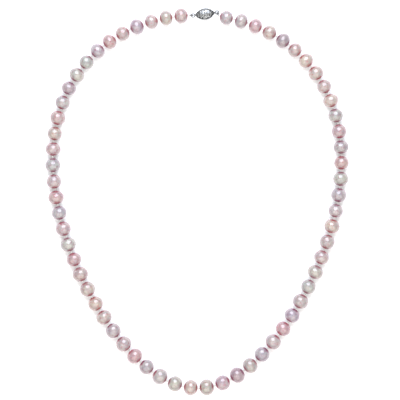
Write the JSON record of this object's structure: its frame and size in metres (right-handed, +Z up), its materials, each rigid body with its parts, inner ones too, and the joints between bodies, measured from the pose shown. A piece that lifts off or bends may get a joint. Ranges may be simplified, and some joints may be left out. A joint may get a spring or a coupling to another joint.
{
  "type": "pearl necklace",
  "caption": "Knotted pearl strand closed by a pierced marquise fish-hook clasp, laid in a flat egg-shaped loop; strand opens, drapes and bends at its knots.",
  "frame": {"origin": "on the table, at the middle of the necklace's outline", "axes": "+Y towards the clasp, +Z up from the table, +X to the tongue side of the clasp"},
  "size_m": [0.1504, 0.1918, 0.008],
  "materials": {
    "pearl_rose": "polished nacre, rose overtone",
    "pearl_mauve": "polished nacre, mauve",
    "pearl_silver": "polished nacre, silver lilac",
    "pearl_peach": "polished nacre, peach cream",
    "silk": "twisted silk, pale pink",
    "silver": "bright sterling silver",
    "silver_gimp": "fine coiled silver wire"
  },
  "bodies": {
    "clasp_case": {"case_front_filigree": "silver", "case_back_filigree": "silver", "case_rim_band": "silver", "case_rim_wires": "silver", "case_mouth_collar": "silver", "case_catch_bar": "silver", "case_end_ring": "silver"},
    "tongue": {"tongue_plate": "silver", "tongue_end_cap": "silver", "tongue_end_ring": "silver"},
    "hook_spring": {"hook_spring_leaf": "silver"},
    "strand_left_01": {"pearls_left_01": "pearl_rose", "silk_left_01": "silk", "gimp_loop_left": "silver_gimp"},
    "strand_left_02": {"pearls_left_02": "pearl_peach", "silk_left_02": "silk"},
    "strand_left_03": {"pearls_left_03": "pearl_mauve", "silk_left_03": "silk"},
    "strand_left_04": {"pearls_left_04": "pearl_silver", "silk_left_04": "silk"},
    "strand_left_05": {"pearls_left_05": "pearl_rose", "silk_left_05": "silk"},
    "strand_left_06": {"pearls_left_06": "pearl_mauve", "silk_left_06": "silk"},
    "strand_left_07": {"pearls_left_07": "pearl_silver", "silk_left_07": "silk"},
    "strand_left_08": {"pearls_left_08": "pearl_rose", "silk_left_08": "silk"},
    "strand_left_09": {"pearls_left_09": "pearl_peach", "silk_left_09": "silk"},
    "strand_left_10": {"pearls_left_10": "pearl_mauve", "silk_left_10": "silk"},
    "strand_front_centre": {"pearls_front_centre": "pearl_silver", "silk_front_centre": "silk"},
    "strand_right_10": {"pearls_right_10": "pearl_rose", "silk_right_10": "silk"},
    "strand_right_09": {"pearls_right_09": "pearl_mauve", "silk_right_09": "silk"},
    "strand_right_08": {"pearls_right_08": "pearl_peach", "silk_right_08": "silk"},
    "strand_right_07": {"pearls_right_07": "pearl_rose", "silk_right_07": "silk"},
    "strand_right_06": {"pearls_right_06": "pearl_silver", "silk_right_06": "silk"},
    "strand_right_05": {"pearls_right_05": "pearl_mauve", "silk_right_05": "silk"},
    "strand_right_04": {"pearls_right_04": "pearl_rose", "silk_right_04": "silk"},
    "strand_right_03": {"pearls_right_03": "pearl_silver", "silk_right_03": "silk"},
    "strand_right_02": {"pearls_right_02": "pearl_peach", "silk_right_02": "silk"},
    "strand_right_01": {"pearls_right_01": "pearl_mauve", "silk_right_01": "silk", "gimp_loop_right": "silver_gimp"}
  },
  "joints": [
    {"name": "case_ring_swing", "type": "hinge", "parent": "clasp_case", "child": "strand_left_01", "pos_m": [-0.00196, 0.09225, 0.00398], "axis": [0, 0, 1], "range_deg": [0, 4.2]},
    {"name": "left_knot_01_swing", "type": "hinge", "parent": "strand_left_01", "child": "strand_left_02", "pos_m": [-0.02618, 0.08822, 0.00398], "axis": [0, 0, 1], "range_deg": [0, 2.2]},
    {"name": "strand_opening", "type": "hinge", "parent": "strand_left_02", "child": "strand_left_03", "pos_m": [-0.04638, 0.07719, 0.00398], "axis": [0, 0, 1], "range_deg": [0, 2.76]},
    {"name": "left_knot_03_swing", "type": "hinge", "parent": "strand_left_03", "child": "strand_left_04", "pos_m": [-0.06172, 0.0596, 0.00398], "axis": [0, 0, 1], "range_deg": [0, 4.28]},
    {"name": "left_knot_04_swing", "type": "hinge", "parent": "strand_left_04", "child": "strand_left_05", "pos_m": [-0.06993, 0.0376, 0.00398], "axis": [0, 0, 1], "range_deg": [0, 2.03]},
    {"name": "left_knot_05_swing", "type": "hinge", "parent": "strand_left_05", "child": "strand_left_06", "pos_m": [-0.07129, 0.01406, 0.00398], "axis": [0, 0, 1], "range_deg": [-11.03, 0]},
    {"name": "drape_1", "type": "hinge", "parent": "strand_left_06", "child": "strand_left_07", "pos_m": [-0.06738, -0.00941, 0.00398], "axis": [0.9988, -0.0492, 0], "range_deg": [-35, 35]},
    {"name": "drape_2", "type": "hinge", "parent": "strand_left_07", "child": "strand_left_08", "pos_m": [-0.05947, -0.03224, 0.00398], "axis": [0.9986, -0.053, 0], "range_deg": [-35, 35]},
    {"name": "drape_3", "type": "hinge", "parent": "strand_left_08", "child": "strand_left_09", "pos_m": [-0.04822, -0.05394, 0.00398], "axis": [0.9981, -0.0613, 0], "range_deg": [-35, 35]},
    {"name": "drape_4", "type": "hinge", "parent": "strand_left_09", "child": "strand_left_10", "pos_m": [-0.03366, -0.0736, 0.00398], "axis": [0.997, -0.078, 0], "range_deg": [-35, 35]},
    {"name": "front_centre_turn", "type": "hinge", "parent": "strand_left_10", "child": "strand_front_centre", "pos_m": [-0.01475, -0.08874, 0.00398], "axis": [0.9942, -0.1077, 0], "range_deg": [-60, 60]},
    {"name": "front_centre_turn_right", "type": "hinge", "parent": "strand_front_centre", "child": "strand_right_10", "pos_m": [0.00882, -0.09129, 0.00398], "axis": [0.9942, -0.1077, 0], "range_deg": [-60, 60]},
    {"name": "drape_4_right", "type": "hinge", "parent": "strand_right_10", "child": "strand_right_09", "pos_m": [0.02936, -0.07853, 0.00398], "axis": [0.997, -0.078, 0], "range_deg": [-35, 35]},
    {"name": "drape_3_right", "type": "hinge", "parent": "strand_right_09", "child": "strand_right_08", "pos_m": [0.04497, -0.05966, 0.00398], "axis": [0.9981, -0.0613, 0], "range_deg": [-35, 35]},
    {"name": "drape_2_right", "type": "hinge", "parent": "strand_right_08", "child": "strand_right_07", "pos_m": [0.05701, -0.03842, 0.00398], "axis": [0.9986, -0.053, 0], "range_deg": [-35, 35]},
    {"name": "drape_1_right", "type": "hinge", "parent": "strand_right_07", "child": "strand_right_06", "pos_m": [0.06577, -0.01597, 0.00398], "axis": [0.9988, -0.0492, 0], "range_deg": [-35, 35]},
    {"name": "right_knot_05_swing", "type": "hinge", "parent": "strand_right_06", "child": "strand_right_05", "pos_m": [0.07081, 0.00727, 0.00398], "axis": [0, 0, 1], "range_deg": [-22.15, 0]},
    {"name": "right_knot_04_swing", "type": "hinge", "parent": "strand_right_05", "child": "strand_right_04", "pos_m": [0.07104, 0.03091, 0.00398], "axis": [0, 0, 1], "range_deg": [0, 4.09]},
    {"name": "right_knot_03_swing", "type": "hinge", "parent": "strand_right_04", "child": "strand_right_03", "pos_m": [0.06483, 0.05363, 0.00398], "axis": [0, 0, 1], "range_deg": [0, 9.1]},
    {"name": "right_knot_02_swing", "type": "hinge", "parent": "strand_right_03", "child": "strand_right_02", "pos_m": [0.05139, 0.0727, 0.00398], "axis": [0, 0, 1], "range_deg": [0, 4.81]},
    {"name": "right_knot_01_swing", "type": "hinge", "parent": "strand_right_02", "child": "strand_right_01", "pos_m": [0.03242, 0.08564, 0.00398], "axis": [0, 0, 1], "range_deg": [0, 1.84]},
    {"name": "tongue_slide", "type": "slide", "parent": "clasp_case", "child": "tongue", "axis": [0.9922, 0.1247, 0], "range_m": [0, 0.0301], "deforming": ["hook_spring_leaf"]},
    {"name": "spring_leaf_press", "type": "hinge", "parent": "tongue", "child": "hook_spring", "pos_m": [0.00102, 0.09263, 0.00389], "axis": [-0.1247, 0.9922, 0], "range_deg": [0, 3.6], "stiffness_Nm_per_rad": 0.0005}
  ],
  "couplings": [
    {"joint": "case_ring_swing", "follows": "strand_opening", "ratio": 1.4922},
    {"joint": "left_knot_01_swing", "follows": "strand_opening", "ratio": 0.78295},
    {"joint": "left_knot_03_swing", "follows": "strand_opening", "ratio": 1.5237},
    {"joint": "left_knot_04_swing", "follows": "strand_opening", "ratio": 0.72098},
    {"joint": "left_knot_05_swing", "follows": "strand_opening", "ratio": -3.9231},
    {"joint": "front_centre_turn_right", "follows": "front_centre_turn", "ratio": -1},
    {"joint": "drape_4_right", "follows": "drape_4", "ratio": -1},
    {"joint": "drape_3_right", "follows": "drape_3", "ratio": -1},
    {"joint": "drape_2_right", "follows": "drape_2", "ratio": -1},
    {"joint": "drape_1_right", "follows": "drape_1", "ratio": -1},
    {"joint": "right_knot_05_swing", "follows": "strand_opening", "ratio": -7.8791},
    {"joint": "right_knot_04_swing", "follows": "strand_opening", "ratio": 1.4542},
    {"joint": "right_knot_03_swing", "follows": "strand_opening", "ratio": 3.2378},
    {"joint": "right_knot_02_swing", "follows": "strand_opening", "ratio": 1.7113},
    {"joint": "right_knot_01_swing", "follows": "strand_opening", "ratio": 0.65308},
    {"joint": "tongue_slide", "follows": "strand_opening", "m_per_rad": 0.62368}
  ]
}
